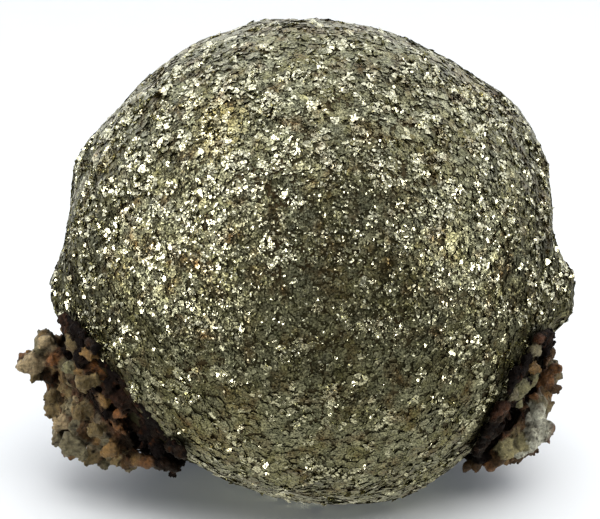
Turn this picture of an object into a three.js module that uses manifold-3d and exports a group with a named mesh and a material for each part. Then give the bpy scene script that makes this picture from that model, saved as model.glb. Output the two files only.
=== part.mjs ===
// A marcasite nodule on the piece of quartz rock that it grew on.
//
// Millimetres, +Z up, the front towards -Y. The origin is the middle of the small flat spot under
// the ball, on which the specimen rests.
import * as THREE from "three";
import { ConvexHull } from "three/addons/math/ConvexHull.js";
import { mergeVertices } from "three/addons/utils/BufferGeometryUtils.js";
import Module from "manifold-3d";

// Driving dimensions
const BALL_RADIUS = 27.1; // of the ball's form, from which the plates stand up a little
const REST_SPOT_DEPTH = 0.7; // how much of the ball's lowest cap the rest spot takes off
const PLATE_COUNT = 390; // crystal plates over the whole ball
const PLATE_SHARE = 0.92; // how much of the way from its middle to a crevice a plate stays flat
const PLATE_LIFT = 0.3; // lowest height of a plate's middle above the ball's form
const PLATE_LIFT_SPREAD = 0.3;
const PLATE_TILT = 7; // degrees, the most that a plate leans from the surface
const CREVICE_DEPTH = 0.15; // how far the crevices between plates go below the ball's form
const SOCKET_CLEARANCE = 1.8; // from the ball's form, so that all plates clear the rock by 0.3 or more
const ROCK_UNEVENNESS = { turn: 2, reach: 1, height: 0.6 }; // degrees and mm, each way
const WALL_GRAINS = 20; // grains strewn over the rock's sides and back
const WALL_GRAIN_SIZES = [0.99, 1.76]; // smallest and largest radius of those
const GRAIN_UNEVENNESS = 0.15; // share of a grain's radius, each way
const VIEW_TILT = 16; // degrees above level from which the front is seen when places are named

const BALL_HEIGHT = BALL_RADIUS + PLATE_LIFT - REST_SPOT_DEPTH; // of the ball's centre above the rest spot

const wasm = await Module();
wasm.setup();

const radians = THREE.MathUtils.degToRad;

// Random numbers from a fixed start, so that every build gives the same specimen
let randomState = 2718;
function random() {
  randomState = (randomState * 1664525 + 1013904223) % 4294967296;
  return randomState / 4294967296;
}
function randomBetween(low, high) {
  return low + (high - low) * random();
}

function toSolid(geometry) {
  const bare = new THREE.BufferGeometry();
  bare.setAttribute("position", geometry.getAttribute("position"));
  bare.setIndex(geometry.getIndex());
  const merged = mergeVertices(bare);
  return new wasm.Manifold(new wasm.Mesh({
    numProp: 3,
    vertProperties: new Float32Array(merged.getAttribute("position").array),
    triVerts: new Uint32Array(merged.getIndex().array),
  }));
}

function fromSolid(solid) {
  const mesh = solid.getMesh();
  const geometry = new THREE.BufferGeometry();
  geometry.setAttribute("position", new THREE.BufferAttribute(mesh.vertProperties, 3));
  geometry.setIndex(new THREE.BufferAttribute(mesh.triVerts, 1));
  geometry.computeVertexNormals();
  return geometry;
}

function belowFloor() {
  const size = 4 * BALL_RADIUS;
  return toSolid(new THREE.BoxGeometry(size, size, size).translate(0, 0, -size / 2));
}

// The ball's form. A place on it is named by its clock angle on the outline as seen from the
// front (0 to the right, 90 at the top) and by how far it is turned towards the viewer.
const VIEW_RIGHT = new THREE.Vector3(1, 0, 0);
const VIEW_UP = new THREE.Vector3(0, Math.sin(radians(VIEW_TILT)), Math.cos(radians(VIEW_TILT)));
const VIEW_TOWARDS = new THREE.Vector3().crossVectors(VIEW_RIGHT, VIEW_UP);

function onBall(clock, towards) {
  return new THREE.Vector3()
    .addScaledVector(VIEW_RIGHT, Math.cos(radians(clock)) * Math.cos(radians(towards)))
    .addScaledVector(VIEW_UP, Math.sin(radians(clock)) * Math.cos(radians(towards)))
    .addScaledVector(VIEW_TOWARDS, Math.sin(radians(towards)));
}

// Swells and flats that take the ball off a true sphere: how wide each is in degrees and how high
// in mm, which is below zero for a flat
const SWELLS = [
  { place: onBall(32, 0), width: 15, height: 1.6 }, // right shoulder
  { place: onBall(60, 0), width: 8, height: -0.5 }, // flattened crown
  { place: onBall(85, 0), width: 12, height: -0.7 },
  { place: onBall(155, 0), width: 8, height: 1.2 }, // left shoulder
  { place: onBall(189, 0), width: 9, height: 1.9 }, // left swell above the rock
  { place: onBall(246, 5), width: 13, height: -2.5 }, // hollow under the left
  { place: onBall(266, 9), width: 10, height: -1.1 }, // flattened underside at the front
  { place: onBall(295, 5), width: 11, height: 0.8 }, // swell under the right
  { place: onBall(320, 35), width: 16, height: 0.5 }, // low swell on the front
  { place: onBall(130, 40), width: 15, height: 0.5 }, // low swell on the upper front
  { place: onBall(60, -60), width: 18, height: 0.8 }, // low swells and a flat at the back
  { place: onBall(170, -50), width: 20, height: 0.9 },
  { place: onBall(110, -35), width: 14, height: -0.5 },
];

// The crust at the right stands out in a ledge that breaks off sharply at its lower edge. Its
// height is in mm, and how far it runs along the outline and back and forth is in degrees.
const LEDGE = { clock: 351, height: 2.5, length: 8, depth: 17, breakClock: 344.5, breakLength: 2 };

function ledgeHeight(direction) {
  const right = direction.dot(VIEW_RIGHT);
  const up = direction.dot(VIEW_UP);
  const clock = THREE.MathUtils.radToDeg(Math.atan2(up, right)) + 360;
  const towards = THREE.MathUtils.radToDeg(Math.asin(direction.dot(VIEW_TOWARDS)));
  const swell = Math.exp(-(((clock - LEDGE.clock) / LEDGE.length) ** 2) - (towards / LEDGE.depth) ** 2);
  const above = THREE.MathUtils.smoothstep(clock, LEDGE.breakClock - LEDGE.breakLength, LEDGE.breakClock);
  return right > 0 ? LEDGE.height * swell * above : 0;
}

// How far the ball's form reaches from its centre in a direction
function ballReach(direction) {
  let reach = BALL_RADIUS + ledgeHeight(direction);
  for (const swell of SWELLS) {
    reach += swell.height * Math.exp(-((direction.angleTo(swell.place) / radians(swell.width)) ** 2));
  }
  return reach;
}

// The plates lie flush round the rest spot, so that it has a clean edge: no plate leans or stands
// proud inside the first angle from straight down, and beyond the second they all do in full
const SMOOTH_INSIDE = 12; // degrees
const ROUGH_OUTSIDE = 20;
const DOWN = new THREE.Vector3(0, 0, -1);

function roughness(direction) {
  return THREE.MathUtils.smoothstep(
    THREE.MathUtils.radToDeg(direction.angleTo(DOWN)), SMOOTH_INSIDE, ROUGH_OUTSIDE);
}

// Directions spread evenly over the ball by turning on by the golden angle, then nudged
function spreadDirections(count) {
  const goldenAngle = Math.PI * (3 - Math.sqrt(5));
  const nudge = 0.55 * Math.sqrt((4 * Math.PI) / count);
  const directions = [];
  for (let i = 0; i < count; i += 1) {
    const height = 1 - (2 * i + 1) / count;
    const ring = Math.sqrt(1 - height * height);
    const direction = new THREE.Vector3(
      ring * Math.cos(goldenAngle * i) + nudge * randomBetween(-0.5, 0.5),
      ring * Math.sin(goldenAngle * i) + nudge * randomBetween(-0.5, 0.5),
      height + nudge * randomBetween(-0.5, 0.5));
    directions.push(direction.normalize());
  }
  return directions;
}

// Each direction gets a plate. The hull over all of them joins every three neighbours in a face,
// and that face's normal is the corner where their three plates meet.
function plateOutlines(directions) {
  const faces = new ConvexHull().setFromPoints(directions).faces;
  const corners = faces.map((face) => face.normal.clone());
  const outlines = new Map(directions.map((direction) => [direction, []]));
  faces.forEach((face, corner) => {
    for (let side = 0; side < 3; side += 1) {
      outlines.get(face.getEdge(side).head().point).push(corner);
    }
  });
  for (const [direction, outline] of outlines) {
    const east = new THREE.Vector3(direction.z, 0, -direction.x).normalize();
    const north = new THREE.Vector3().crossVectors(direction, east);
    const angle = (corner) => Math.atan2(corners[corner].dot(north), corners[corner].dot(east));
    outline.sort((a, b) => angle(a) - angle(b));
  }
  return { corners, outlines: [...outlines.values()] };
}

// The plane that a plate lies in: through its middle, a little above the ball's form, and leaning
function platePlane(outline, corners) {
  const places = outline.map((corner) => corners[corner].clone().multiplyScalar(ballReach(corners[corner])));
  const middle = new THREE.Vector3();
  const normal = new THREE.Vector3();
  places.forEach((place, i) => {
    middle.add(corners[outline[i]]);
    normal.add(new THREE.Vector3().crossVectors(place, places[(i + 1) % places.length]));
  });
  middle.normalize();
  normal.normalize();
  const lean = new THREE.Vector3(randomBetween(-1, 1), randomBetween(-1, 1), randomBetween(-1, 1));
  normal.addScaledVector(lean, Math.tan(radians(PLATE_TILT)) * roughness(middle)).normalize();
  const lift = PLATE_LIFT + PLATE_LIFT_SPREAD * random() * roughness(middle);
  const top = middle.clone().multiplyScalar(ballReach(middle) + lift);
  return { middle, plane: new THREE.Plane().setFromNormalAndCoplanarPoint(normal, top) };
}

// The whole ball as one closed skin: flat plates whose rims drop to the shared crevices
function nodule() {
  const { corners, outlines } = plateOutlines(spreadDirections(PLATE_COUNT));
  const positions = corners.flatMap((corner) => {
    const above = THREE.MathUtils.lerp(PLATE_LIFT, -CREVICE_DEPTH, roughness(corner));
    return corner.clone().multiplyScalar(ballReach(corner) + above).toArray();
  });
  const triangles = [];
  for (const outline of outlines) {
    const { middle, plane } = platePlane(outline, corners);
    const firstRim = positions.length / 3;
    for (const corner of outline) {
      const towardsRim = middle.clone().lerp(corners[corner], PLATE_SHARE).normalize();
      const distance = -plane.constant / plane.normal.dot(towardsRim);
      positions.push(...towardsRim.multiplyScalar(distance).toArray());
    }
    for (let i = 0; i < outline.length; i += 1) {
      const next = (i + 1) % outline.length;
      triangles.push(outline[i], outline[next], firstRim + next);
      triangles.push(outline[i], firstRim + next, firstRim + i);
      if (i > 0 && next > 0) {
        triangles.push(firstRim, firstRim + i, firstRim + next);
      }
    }
  }
  const skin = new THREE.BufferGeometry();
  skin.setAttribute("position", new THREE.Float32BufferAttribute(positions, 3));
  skin.setIndex(triangles);
  return toSolid(skin.translate(0, 0, BALL_HEIGHT)).subtract(belowFloor());
}

// A smooth copy of the ball, standing clear of all its plates, that cuts the socket in the rock
function socketCutter() {
  const detail = 5;
  const cutter = new THREE.IcosahedronGeometry(1, detail);
  const points = cutter.getAttribute("position");
  const direction = new THREE.Vector3();
  for (let i = 0; i < points.count; i += 1) {
    direction.fromBufferAttribute(points, i).normalize();
    direction.multiplyScalar(ballReach(direction) + SOCKET_CLEARANCE);
    points.setXYZ(i, direction.x, direction.y, direction.z);
  }
  return toSolid(cutter.translate(0, 0, BALL_HEIGHT));
}

// A place in the rock: turn is the angle round the ball seen from above (0 at the right, 90 at the
// back, 180 at the left), reach the distance from the ball's upright axis.
function inRock(turn, reach, height) {
  return new THREE.Vector3(
    reach * Math.cos(radians(turn)), reach * Math.sin(radians(turn)), height);
}

// The rock's section at places round the ball, from its front right end round the back to its
// front left end. Each gives the height of its underside and top, and the reach of its foot,
// belly, shoulder and rim. Behind the ball it reaches below the floor, where it is cut off flat.
const ROCK_SECTIONS = [
  { turn: -27, under: 9.5, top: 17, foot: 20.5, belly: 22.5, shoulder: 24.5, rim: 26.2 },
  { turn: -17, under: 4.4, top: 18, foot: 21.5, belly: 25.4, shoulder: 26, rim: 26.6 },
  { turn: -2, under: 4, top: 17.5, foot: 24.5, belly: 27.2, shoulder: 27.4, rim: 27.6 },
  { turn: 18, under: 2.6, top: 18.5, foot: 22, belly: 27, shoulder: 28, rim: 27.6 },
  { turn: 40, under: -1, top: 15.5, foot: 22.5, belly: 28, shoulder: 28.6, rim: 26.8 },
  { turn: 63, under: -1, top: 18, foot: 21.5, belly: 27.5, shoulder: 29, rim: 28.2 },
  { turn: 88, under: -1, top: 21, foot: 22, belly: 28.6, shoulder: 29.4, rim: 28 },
  { turn: 112, under: -1, top: 16, foot: 23.5, belly: 28, shoulder: 28.2, rim: 27 },
  { turn: 138, under: -1, top: 19.5, foot: 21.5, belly: 28.5, shoulder: 29.6, rim: 28.2 },
  { turn: 160, under: 2.2, top: 17.5, foot: 22.5, belly: 29, shoulder: 29.2, rim: 27.8 },
  { turn: 180, under: 4.4, top: 19.5, foot: 25.5, belly: 29.8, shoulder: 29.6, rim: 27.6 },
  { turn: 196, under: 4.8, top: 20.5, foot: 23.8, belly: 28, shoulder: 28.2, rim: 27.8 },
  { turn: 211, under: 5.2, top: 19, foot: 20.5, belly: 24, shoulder: 26.2, rim: 27.4 },
  { turn: 224, under: 6, top: 14.5, foot: 18.8, belly: 21, shoulder: 23.6, rim: 25.4 },
];
const BELLY_RISE = 0.3; // share of a section's height
const SHOULDER_RISE = 0.7;
const ROCK_CORE = 9; // reach of the rock's inner side, well inside the ball, where the socket cuts it off

// A place on the rock's outside: along runs through the sections from 0 to 1, rise from its
// underside to its top
function onRock(along, rise) {
  const place = along * (ROCK_SECTIONS.length - 1);
  const before = ROCK_SECTIONS[Math.floor(place)];
  const after = ROCK_SECTIONS[Math.min(Math.floor(place) + 1, ROCK_SECTIONS.length - 1)];
  const between = (name) => THREE.MathUtils.lerp(before[name], after[name], place % 1);
  const upper = (rise - SHOULDER_RISE) / (1 - SHOULDER_RISE);
  const middle = (rise - BELLY_RISE) / (SHOULDER_RISE - BELLY_RISE);
  let reach = THREE.MathUtils.lerp(between("foot"), between("belly"), rise / BELLY_RISE);
  if (rise > SHOULDER_RISE) {
    reach = THREE.MathUtils.lerp(between("shoulder"), between("rim"), upper);
  } else if (rise > BELLY_RISE) {
    reach = THREE.MathUtils.lerp(between("belly"), between("shoulder"), middle);
  }
  const height = THREE.MathUtils.lerp(between("under"), between("top"), rise);
  return { turn: between("turn"), reach, height };
}

// The rock's craggy outside as one closed skin: a net of uneven places, and a plain inner side
function rockBody() {
  const steps = 33;
  const rises = [0, 0.2, 0.4, 0.6, 0.8, 1];
  const points = [];
  for (let i = 0; i <= steps; i += 1) {
    const wall = rises.map((rise) => onRock(i / steps, rise));
    points.push(inRock(wall[0].turn, ROCK_CORE, wall[0].height));
    for (const { turn, reach, height } of wall) {
      points.push(inRock(
        turn + ROCK_UNEVENNESS.turn * randomBetween(-1, 1),
        reach + ROCK_UNEVENNESS.reach * randomBetween(-1, 1),
        height + ROCK_UNEVENNESS.height * randomBetween(-1, 1)));
    }
    points.push(inRock(wall[0].turn, ROCK_CORE, wall[rises.length - 1].height));
  }
  const size = rises.length + 2;
  const triangles = [];
  for (let i = 1; i <= steps; i += 1) {
    for (let j = 0; j < size; j += 1) {
      const next = (j + 1) % size;
      const before = (i - 1) * size;
      const after = i * size;
      triangles.push(before + j, after + j, after + next);
      triangles.push(before + j, after + next, before + next);
    }
  }
  const last = steps * size;
  for (let j = 1; j < size - 1; j += 1) {
    triangles.push(0, j, j + 1);
    triangles.push(last, last + j + 1, last + j);
  }
  const skin = new THREE.BufferGeometry().setFromPoints(points);
  skin.setIndex(triangles);
  return toSolid(skin);
}

// A worn quartz grain: an uneven rounded lump, and the larger ones have more faces
const LARGE_GRAIN = 1.75;

function grain({ turn, reach, height, size }) {
  const lump = mergeVertices(new THREE.IcosahedronGeometry(1, size > LARGE_GRAIN ? 1 : 0)
    .deleteAttribute("normal").deleteAttribute("uv"));
  const points = lump.getAttribute("position");
  for (let i = 0; i < points.count; i += 1) {
    const uneven = size * randomBetween(1 - GRAIN_UNEVENNESS, 1 + GRAIN_UNEVENNESS);
    points.setXYZ(i, points.getX(i) * uneven, points.getY(i) * uneven, points.getZ(i) * uneven);
  }
  lump.scale(randomBetween(0.85, 1.2), randomBetween(0.85, 1.2), randomBetween(0.8, 1.1));
  lump.rotateX(randomBetween(0, Math.PI)).rotateZ(randomBetween(0, Math.PI));
  return toSolid(lump.translate(...inRock(turn, reach, height).toArray()));
}

// A cut can leave specks as thin as a hair, which aren't part of the rock
function withoutSpecks(solid) {
  const bodies = solid.decompose();
  return bodies.reduce((best, next) => (next.volume() > best.volume() ? next : best));
}

// The grains that make the look of the two ends, as seen from the front
const LEFT_END_GRAINS = [
  { turn: 184, reach: 29.6, height: 17.9, size: 1.8 }, // pale knob that stands out from the side
  { turn: 183, reach: 31.8, height: 15.6, size: 1.7 },
  { turn: 184, reach: 30.7, height: 14.1, size: 1.3 },
  { turn: 185, reach: 29.3, height: 15.6, size: 1.45 },
  { turn: 188, reach: 28.9, height: 16.8, size: 0.9 },
  { turn: 195, reach: 27.6, height: 19.8, size: 1.4 }, // brown ridge beside the ball
  { turn: 205, reach: 27.4, height: 19.2, size: 1.3 },
  { turn: 211, reach: 26.8, height: 17.2, size: 1.2 },
  { turn: 207, reach: 26.4, height: 15.2, size: 1.2 },
  { turn: 211, reach: 25.3, height: 13, size: 1.2 },
  { turn: 209, reach: 24.6, height: 10.8, size: 1.1 },
  { turn: 188, reach: 28, height: 15.2, size: 1.2 }, // pale grains of the middle
  { turn: 196, reach: 27.2, height: 15.2, size: 1.5 },
  { turn: 190, reach: 27.9, height: 10, size: 1.4 },
  { turn: 198, reach: 26.6, height: 8.6, size: 1.3 },
  { turn: 199, reach: 26.4, height: 12, size: 1.3 },
  { turn: 184, reach: 29.2, height: 12, size: 1.3 }, // left edge
  { turn: 185, reach: 29.4, height: 9.8, size: 1.3 },
  { turn: 186, reach: 28.9, height: 7.6, size: 1.6 },
  { turn: 189, reach: 27.2, height: 6.2, size: 1.5 }, // underside
  { turn: 196, reach: 25, height: 5.6, size: 1.4 },
  { turn: 205, reach: 22.8, height: 6, size: 1.2 },
  { turn: 213, reach: 21.4, height: 6.8, size: 1.2 },
  { turn: 219, reach: 20.4, height: 7, size: 1 },
];
const RIGHT_END_GRAINS = [
  { turn: -4, reach: 27.3, height: 16.3, size: 1.1 }, // rusty knobs at the side
  { turn: -3, reach: 27.5, height: 14.6, size: 1.1 },
  { turn: -4, reach: 27.5, height: 12.9, size: 1.1 },
  { turn: -10, reach: 26.4, height: 17.8, size: 1.2 }, // crust under the ball's ledge
  { turn: -18, reach: 26.6, height: 16.7, size: 1.15 }, // round tan grain
  { turn: -18, reach: 25.6, height: 14.2, size: 1.9 }, // greenish quartz
  { turn: -9, reach: 26.2, height: 12, size: 1.2 }, // rusty streak
  { turn: -7, reach: 26.5, height: 11, size: 1.5 }, // white quartz mass
  { turn: -9, reach: 26, height: 8.8, size: 2 },
  { turn: -13, reach: 24.2, height: 7.2, size: 1.7 },
  { turn: -18, reach: 21.6, height: 5.8, size: 1.3 }, // brown base
  { turn: -20, reach: 19.8, height: 5.4, size: 1.1 },
  { turn: -14, reach: 23, height: 5.9, size: 1.3 },
  { turn: -8, reach: 25.4, height: 6.4, size: 1.5 },
];

// Grains strewn over the rock's outside from its right side round the back to its left side, the
// share of the way through its sections that this is
const WALL = { from: 0.15, to: 0.75 };

function wallGrains() {
  const grains = [];
  for (let i = 0; i < WALL_GRAINS; i += 1) {
    const { turn, reach, height } = onRock(randomBetween(WALL.from, WALL.to), random());
    grains.push({ turn, reach, height, size: randomBetween(...WALL_GRAIN_SIZES) });
  }
  return grains;
}

// The rock with its grains as one solid, with the socket for the ball cut out
function matrix() {
  const grains = [...LEFT_END_GRAINS, ...RIGHT_END_GRAINS, ...wallGrains()].map(grain);
  const rock = rockBody().add(wasm.Manifold.union(grains));
  return withoutSpecks(rock.subtract(socketCutter()).subtract(belowFloor()));
}

function piece(name, solid, colour, roughnessOfFace, metalness) {
  const material = new THREE.MeshStandardMaterial({
    color: colour, roughness: roughnessOfFace, metalness, flatShading: true,
  });
  const mesh = new THREE.Mesh(fromSolid(solid), material);
  mesh.name = name;
  return mesh;
}

const specimen = new THREE.Group();
specimen.add(piece("marcasite_nodule", nodule(), 0x8b8a6e, 0.35, 1));
specimen.add(piece("matrix", matrix(), 0x6e5a43, 0.85, 0));

export default specimen;
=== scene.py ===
import math

import bpy
import numpy as np
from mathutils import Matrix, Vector, noise
from mathutils.bvhtree import BVHTree
from mathutils.kdtree import KDTree


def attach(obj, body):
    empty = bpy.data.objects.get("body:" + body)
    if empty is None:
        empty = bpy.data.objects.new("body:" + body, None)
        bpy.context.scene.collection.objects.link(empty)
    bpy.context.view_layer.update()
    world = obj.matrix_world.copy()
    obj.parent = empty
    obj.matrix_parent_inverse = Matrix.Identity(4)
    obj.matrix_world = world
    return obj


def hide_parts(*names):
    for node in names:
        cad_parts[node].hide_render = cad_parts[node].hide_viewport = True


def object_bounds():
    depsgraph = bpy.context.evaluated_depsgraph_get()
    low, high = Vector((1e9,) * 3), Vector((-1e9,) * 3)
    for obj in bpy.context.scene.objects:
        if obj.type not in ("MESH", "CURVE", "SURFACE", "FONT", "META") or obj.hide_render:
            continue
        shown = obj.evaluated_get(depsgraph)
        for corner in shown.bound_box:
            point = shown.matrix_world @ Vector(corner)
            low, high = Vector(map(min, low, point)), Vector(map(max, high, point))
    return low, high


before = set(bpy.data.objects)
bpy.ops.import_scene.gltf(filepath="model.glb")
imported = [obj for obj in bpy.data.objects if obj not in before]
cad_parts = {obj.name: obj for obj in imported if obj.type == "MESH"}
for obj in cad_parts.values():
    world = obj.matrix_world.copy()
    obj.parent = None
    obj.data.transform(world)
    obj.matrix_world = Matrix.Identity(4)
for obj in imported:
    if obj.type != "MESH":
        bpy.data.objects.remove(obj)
cad_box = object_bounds()

# Camera
# The specimen is photographed from a little above, with a long lens, so that its ball nearly fills
# the frame. Right, up and towards are the directions in that picture.
MM = 0.001
VIEW_TILT = math.radians(16)
VIEW_DISTANCE = 300 * MM
VIEW_WIDTH = 67.6 * MM  # what the frame takes in at the ball's middle
AIM = Vector((-1.1, 0, 27)) * MM

view_right = Vector((1, 0, 0))
view_up = Vector((0, math.sin(VIEW_TILT), math.cos(VIEW_TILT)))
view_towards = view_right.cross(view_up)

bpy.ops.object.camera_add(location=AIM + VIEW_DISTANCE * view_towards,
                          rotation=(math.pi / 2 - VIEW_TILT, 0, 0))
camera = bpy.context.object
camera.data.angle = 2 * math.atan(VIEW_WIDTH / 2 / VIEW_DISTANCE)
bpy.context.scene.camera = camera


# Table and backdrop
# A sheet of matt white photographic paper lies loose on the table under the specimen and curves up
# behind it in one sweep, so that no edge of the table shows.
PAPER_WIDTH = 2.4
PAPER_FRONT = 1.7
PAPER_BACK = 0.9
PAPER_RISE = 1.2
PAPER_BEND = 0.5  # radius of the curve
PAPER_BEND_STEPS = 24
PAPER_WHITE = "E6E8EB"
BLACK = "000000"
PAPER_GLOW = 0.095  # light that comes through the thin paper from below
PAPER_GLOW_COLOUR = "C0CFE4"
PAPER_MOTTLE = 8 * MM
PAPER_SHADES = (0.98, 1)


def colour(code):
    """A hex colour, as it shows on a screen, in the linear values that the shaders take."""
    shares = [int(code[i:i + 2], 16) / 255 for i in (0, 2, 4)]
    return [s / 12.92 if s <= 0.04045 else ((s + 0.055) / 1.055) ** 2.4 for s in shares] + [1]


def add_node(tree, kind, inputs=None, **settings):
    """Adds a node with its own settings, and for each input a value or another node's output."""
    node = tree.nodes.new(kind)
    for name, value in settings.items():
        setattr(node, name, value)
    for name, value in (inputs or {}).items():
        if isinstance(value, bpy.types.NodeSocket):
            tree.links.new(value, node.inputs[name])
        else:
            node.inputs[name].default_value = value
    return node


def remap(tree, value, span=(0, 1), onto=(0, 1), interpolation="LINEAR"):
    """Turns a value that runs over the one span into one that runs over the other."""
    limits = {"From Min": span[0], "From Max": span[1], "To Min": onto[0], "To Max": onto[1]}
    node = add_node(tree, "ShaderNodeMapRange", {"Value": value, **limits},
                    interpolation_type=interpolation)
    return node.outputs["Result"]


def blend(tree, share, first, second):
    """A colour between two, each a hex colour or another node's output; the share is the second's."""
    ends = [colour(end) if isinstance(end, str) else end for end in (first, second)]
    # This node's factor is socket 0, and its colours are 6 and 7 in and 2 out
    mix = add_node(tree, "ShaderNodeMix", {0: share, 6: ends[0], 7: ends[1]}, data_type="RGBA")
    return mix.outputs[2]


def blotches(tree, place, size, detail, roughness=0.5):
    """A value that drifts up and down over blotches of this size."""
    return add_node(tree, "ShaderNodeTexNoise", {"Vector": place, "Scale": 1 / size, "Detail": detail,
                                                 "Roughness": roughness}).outputs["Fac"]


def new_material(name):
    """An empty material that shows what is linked to the shader it comes with."""
    material = bpy.data.materials.new(name)
    material.use_nodes = True
    return material, material.node_tree, material.node_tree.nodes["Principled BSDF"]


def deselect_all():
    bpy.ops.object.select_all(action="DESELECT")


def select_where(mesh_object, wanted):
    """In edit mode, selects only the vertices whose place the test accepts."""
    bpy.ops.mesh.select_mode(type="VERT")
    bpy.ops.mesh.select_all(action="DESELECT")
    bpy.ops.object.mode_set(mode="OBJECT")
    for vertex in mesh_object.data.vertices:
        vertex.select = wanted(vertex.co)
    bpy.ops.object.mode_set(mode="EDIT")


deselect_all()
bpy.ops.mesh.primitive_plane_add(size=1)
paper = bpy.context.object
paper.name = "paper_sheet"
bpy.ops.object.mode_set(mode="EDIT")
bpy.ops.transform.resize(value=(PAPER_WIDTH, PAPER_FRONT + PAPER_BACK, 1))
bpy.ops.transform.translate(value=(0, (PAPER_BACK - PAPER_FRONT) / 2, 0))
select_where(paper, lambda co: co.y > 0)
bpy.ops.mesh.extrude_region_move(TRANSFORM_OT_translate={"value": (0, 0, PAPER_RISE)})
select_where(paper, lambda co: co.y > 0 and co.z < PAPER_RISE / 2)
bpy.ops.mesh.bevel(offset=PAPER_BEND, segments=PAPER_BEND_STEPS, affect="EDGES")
bpy.ops.mesh.select_all(action="SELECT")
bpy.ops.mesh.normals_make_consistent(inside=False)
bpy.ops.object.mode_set(mode="OBJECT")
bpy.ops.object.shade_smooth()

# Matt paper: all but white, with a hair of blue from the daylight
paper_material, tree, shader = new_material("matt_white_paper")
place = add_node(tree, "ShaderNodeTexCoord").outputs["Object"]
shade = remap(tree, blotches(tree, place, PAPER_MOTTLE, 3), onto=PAPER_SHADES)
tree.links.new(blend(tree, shade, BLACK, PAPER_WHITE), shader.inputs["Base Color"])
shader.inputs["Roughness"].default_value = 0.9
shader.inputs["Specular IOR Level"].default_value = 0.1
shader.inputs["Emission Color"].default_value = colour(PAPER_GLOW_COLOUR)
shader.inputs["Emission Strength"].default_value = PAPER_GLOW
paper.data.materials.append(paper_material)
paper.visible_glossy = False  # the metal mirrors the room below instead, which is dimmer than the paper


# Light
# Daylight from windows at the upper left, left and right, a small one in front, and from an even
# room, which is dim behind the camera, so that the metal facing it stays dark.
BALL_MIDDLE = Vector((0, 0, 26.7)) * MM  # centre of the ball's form above the rest spot
LIGHT_DISTANCE = 0.6
WINDOW_COLOUR = "FFFDF8"


def add_light(name, from_view, size, radiance, lit_things):
    """A soft rectangular light on some of the things only, placed by its direction in the picture:
    right, up and towards."""
    right, up, towards = from_view
    direction = (right * view_right + up * view_up + towards * view_towards).normalized()
    deselect_all()
    bpy.ops.object.light_add(type="AREA", location=BALL_MIDDLE + LIGHT_DISTANCE * direction,
                             rotation=direction.to_track_quat("Z", "Y").to_euler())
    light = bpy.context.object
    light.name = name
    light.data.shape = "RECTANGLE"
    light.data.size, light.data.size_y = size
    light.data.color = colour(WINDOW_COLOUR)[:3]
    light.data.energy = radiance * math.pi * size[0] * size[1]
    light.visible_camera = False
    light.light_linking.receiver_collection = lit_things


# The windows shine on the specimen alone and a lamp overhead on the paper alone, so that the shadow
# on the paper lies soft under the specimen
specimen = bpy.data.collections.new("specimen")
add_light("window_upper_left", from_view=(-0.55, 0.70, 0.45), size=(0.32, 0.28), radiance=4.6,
          lit_things=specimen)
add_light("window_left", from_view=(-0.84, -0.02, 0.47), size=(0.28, 0.28), radiance=11,
          lit_things=specimen)
add_light("window_right", from_view=(0.95, 0.08, 0.3), size=(0.22, 0.24), radiance=11.5,
          lit_things=specimen)
add_light("window_front", from_view=(0.15, -0.22, 0.96), size=(0.1, 0.07), radiance=7,
          lit_things=specimen)
table = bpy.data.collections.new("table")
table.objects.link(paper)
add_light("lamp_overhead", from_view=(0.12, 0.6, 0.79), size=(0.5, 0.4), radiance=4.3,
          lit_things=table)

ROOM_BRIGHTNESS = 1.9
ROOM_FRONT = "47463B"  # behind the camera
ROOM_ABOVE = "F0F1F2"  # above and behind the specimen
ROOM_BELOW = "B2B1A6"
ROOM_AXIS = (0, 0.5, 0.87)  # from the dim side to the bright side
ROOM_FADE = (0, 0.75)  # along that axis
DOWN = (0, 0, -1)
FLOOR_FADE = (0.2, 0.9)  # along that one

world = bpy.data.worlds.new("daylit_room")
bpy.context.scene.world = world
world.use_nodes = True
tree = world.node_tree
direction = add_node(tree, "ShaderNodeTexCoord").outputs["Generated"]
along = add_node(tree, "ShaderNodeVectorMath", {0: direction, 1: ROOM_AXIS}, operation="DOT_PRODUCT")
above = remap(tree, along.outputs["Value"], span=ROOM_FADE, interpolation="SMOOTHSTEP")
under = add_node(tree, "ShaderNodeVectorMath", {0: direction, 1: DOWN}, operation="DOT_PRODUCT")
below = remap(tree, under.outputs["Value"], span=FLOOR_FADE, interpolation="SMOOTHSTEP")
room = blend(tree, below, blend(tree, above, ROOM_FRONT, ROOM_ABOVE), ROOM_BELOW)
tree.links.new(room, tree.nodes["Background"].inputs["Color"])
tree.nodes["Background"].inputs["Strength"].default_value = ROOM_BRIGHTNESS
bpy.context.scene.view_settings.view_transform = "Standard"


# The ball's bed
# Marcasite grown in a ball, in radiating fibres whose ends make its skin. This is the dark ground
# between and under the crystals; it follows the form that the ball has in the frame.
BED_START_RADIUS = 20 * MM  # a small sphere that is blown up to the form
BED_DEPTH = 0.05 * MM  # how far the bed lies below the form
BED_SMOOTHING = 35  # rounds, which take out the frame's broad facets
LEDGE_START = 24 * MM  # to the right of here the smoothing fades, so that the ledge stays sharp
LEDGE_FULL = 27 * MM
LEDGE_KEPT = 0.85
BED_RELIEF = 0.22 * MM
BED_GRAIN = 0.9 * MM
TARNISH_PATCH = 5 * MM

DARK_SULPHIDE = "3B3824"
BROWN_TARNISH = "40331D"


def apply_modifiers(mesh_object):
    bpy.context.view_layer.objects.active = mesh_object
    for modifier in list(mesh_object.modifiers):
        bpy.ops.object.modifier_apply(modifier=modifier.name)


def settle(mesh_object):
    """Puts the object at the origin, unturned and unscaled, with its place in its mesh."""
    deselect_all()
    mesh_object.select_set(True)
    bpy.context.view_layer.objects.active = mesh_object
    bpy.ops.object.transform_apply(location=True, rotation=True, scale=True)


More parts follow.
